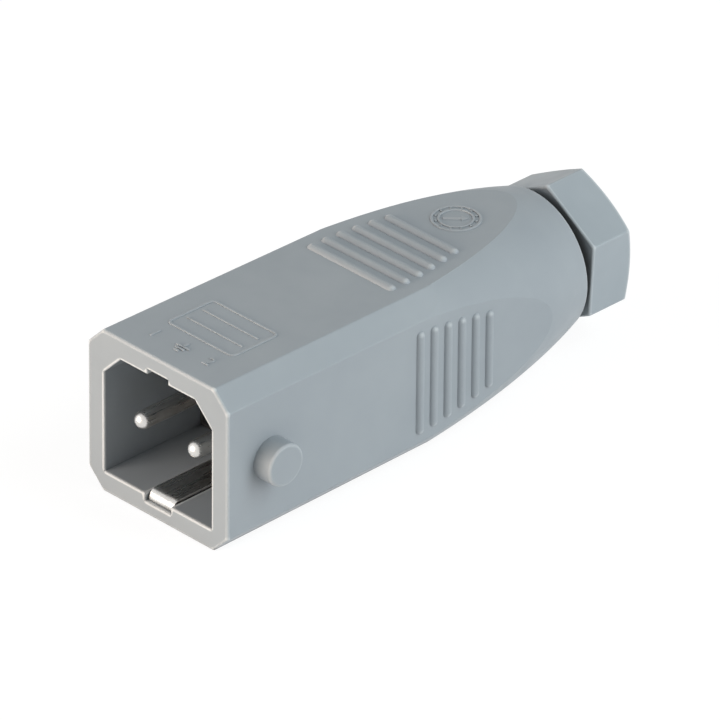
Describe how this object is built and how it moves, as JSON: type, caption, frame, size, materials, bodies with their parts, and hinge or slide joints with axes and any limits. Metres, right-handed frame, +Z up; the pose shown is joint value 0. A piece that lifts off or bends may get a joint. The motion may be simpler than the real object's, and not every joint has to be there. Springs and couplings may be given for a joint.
{
  "type": "industrial power plug",
  "caption": "Rectangular cable plug with round pins and an earth blade in a chamfered shroud, side locking studs, grip ribs and a hexagonal cable gland screw.",
  "frame": {"origin": "centre of the mating face, at the shroud's open end", "axes": "+Y along the pins towards the cable, +Z up with the earth blade at the bottom, +X to the neutral pin's side"},
  "size_m": [0.0318, 0.0766, 0.0243],
  "materials": {
    "housing_plastic": "fine moulded satin",
    "gland_plastic": "moulded satin",
    "ring_plastic": "smooth",
    "seal_rubber": "matt",
    "carrier_plastic": "moulded matt",
    "contact_metal": "nickel plated",
    "clamp_steel": "zinc plated",
    "screw_steel": "zinc plated"
  },
  "bodies": {
    "housing": {"housing": "housing_plastic", "contact_carrier": "carrier_plastic", "line_pin": "contact_metal", "neutral_pin": "contact_metal", "earth_blade": "contact_metal", "line_clamp": "clamp_steel", "earth_clamp": "clamp_steel", "neutral_clamp": "clamp_steel", "line_screw": "screw_steel", "earth_screw": "screw_steel", "neutral_screw": "screw_steel", "seal_grommet": "seal_rubber"},
    "thrust_ring": {"thrust_ring": "ring_plastic"},
    "gland_screw": {"gland_screw": "gland_plastic"}
  },
  "joints": [
    {"name": "gland_travel", "type": "slide", "parent": "housing", "child": "thrust_ring", "axis": [0, 1, 0], "range_m": [0, 0.00901]},
    {"name": "gland_turn", "type": "hinge", "parent": "thrust_ring", "child": "gland_screw", "pos_m": [0, 0.073, 0], "axis": [0, 1, 0], "range_deg": [0, 2160]}
  ],
  "couplings": [
    {"joint": "gland_travel", "follows": "gland_turn", "m_per_rad": 0.00023873}
  ]
}
